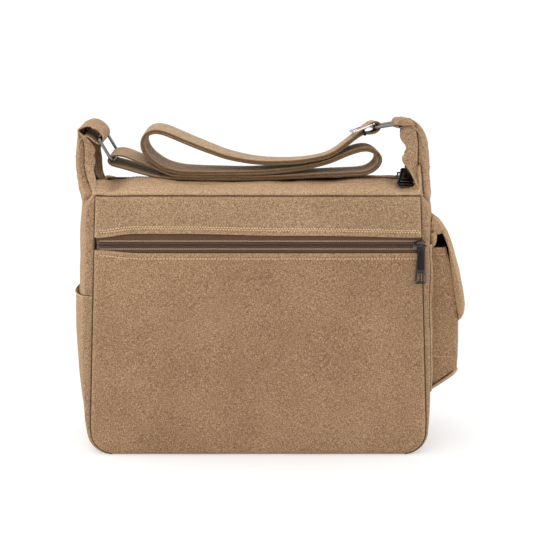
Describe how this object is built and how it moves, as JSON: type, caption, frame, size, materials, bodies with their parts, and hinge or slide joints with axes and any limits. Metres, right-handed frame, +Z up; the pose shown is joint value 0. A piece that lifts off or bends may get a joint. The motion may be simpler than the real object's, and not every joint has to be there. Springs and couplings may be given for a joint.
{
  "type": "messenger bag",
  "caption": "Canvas messenger bag with a zipped top, rear zip pocket, flapped phone pocket on one gusset and a doubled webbing strap folded on top.",
  "frame": {"origin": "centre of the base, on the floor", "axes": "+Z up, +X towards the phone pocket gusset, +Y towards the front pocket, -Y towards the rear zip pocket"},
  "size_m": [0.402, 0.1378, 0.3459],
  "materials": {
    "canvas": "washed cotton canvas",
    "canvas_light": "washed cotton canvas, lighter",
    "zip_tape": "woven tape",
    "zip_coil": "satin",
    "zip_metal": "black nickel",
    "ring_metal": "dark nickel",
    "slider_metal": "nickel",
    "webbing": "woven cotton webbing",
    "lining": "plain woven lining",
    "board": "matte",
    "fastener": "hook and loop",
    "snap_metal": "antique"
  },
  "bodies": {
    "bag": {"back_band": "canvas", "rear_pocket_wall": "canvas", "back_panel": "canvas", "front_panel": "canvas", "left_gusset": "canvas", "right_gusset": "canvas", "bottom_panel": "canvas", "top_panel_back": "canvas_light", "top_panel_front": "canvas_light", "left_slip_pocket": "canvas", "side_pocket_body": "canvas", "front_pocket_body": "canvas", "left_ear": "canvas", "right_ear": "canvas", "main_zip_tape": "zip_tape", "rear_zip_tape": "zip_tape", "main_zip_coil": "zip_coil", "rear_zip_coil": "zip_coil", "main_zip_stops": "zip_metal", "rear_zip_stops": "zip_metal", "rear_pocket_lining": "lining", "main_lining": "lining", "inner_slip_pocket": "lining", "base_board": "board", "side_pocket_patch": "fastener", "front_snap_sockets": "snap_metal"},
    "strap": {"strap_webbing": "webbing", "left_ear_loop": "canvas", "right_ear_loop": "canvas"},
    "left_ring": {"left_ring": "ring_metal"},
    "right_ring": {"right_ring": "ring_metal"},
    "strap_slider": {"strap_slider": "slider_metal"},
    "main_slider": {"main_zip_slider": "zip_metal"},
    "main_pull": {"main_zip_pull": "zip_metal"},
    "rear_slider": {"rear_zip_slider": "zip_metal"},
    "rear_pull": {"rear_zip_pull": "zip_metal"},
    "side_flap": {"side_flap": "canvas_light", "side_flap_patch": "fastener"},
    "front_flap": {"front_flap": "canvas_light", "front_snap_studs": "snap_metal"}
  },
  "joints": [
    {"name": "main_zip_slide", "type": "slide", "parent": "bag", "child": "main_slider", "axis": [1, 0, 0], "range_m": [-0.296, 0]},
    {"name": "main_pull_swing", "type": "hinge", "parent": "main_slider", "child": "main_pull", "pos_m": [0.149, 0, 0.2875], "axis": [-1, 0, 0], "range_deg": [0, 120]},
    {"name": "rear_zip_slide", "type": "slide", "parent": "bag", "child": "rear_slider", "axis": [1, 0, 0], "range_m": [-0.305, 0]},
    {"name": "rear_pull_swing", "type": "hinge", "parent": "rear_slider", "child": "rear_pull", "pos_m": [0.1616, -0.0596, 0.22], "axis": [-1, 0, 0], "range_deg": [0, 150]},
    {"name": "side_flap_lift", "type": "hinge", "parent": "bag", "child": "side_flap", "pos_m": [0.1789, 0, 0.2443], "axis": [0, -1, 0], "range_deg": [0, 120]},
    {"name": "front_flap_lift", "type": "hinge", "parent": "bag", "child": "front_flap", "pos_m": [0, 0.0572, 0.199], "axis": [1, 0, 0], "range_deg": [0, 125]},
    {"name": "strap_swing", "type": "hinge", "parent": "bag", "child": "strap", "pos_m": [-0.16, -0.006, 0.327], "axis": [-0.9992, 0, -0.0399], "range_deg": [0, 70]},
    {"name": "left_ring_tilt", "type": "hinge", "parent": "strap", "child": "left_ring", "pos_m": [-0.16, -0.006, 0.327], "axis": [0.0062, -0.9877, -0.1563], "range_deg": [-5, 5]},
    {"name": "right_ring_tilt", "type": "hinge", "parent": "strap", "child": "right_ring", "pos_m": [0.1428, -0.006, 0.3391], "axis": [-0.0062, 0.9877, 0.1563], "range_deg": [-4, 4]},
    {"name": "strap_adjust", "type": "slide", "parent": "strap", "child": "strap_slider", "axis": [0.872, -0.0711, 0.4843], "range_m": [-0.008, 0]}
  ]
}
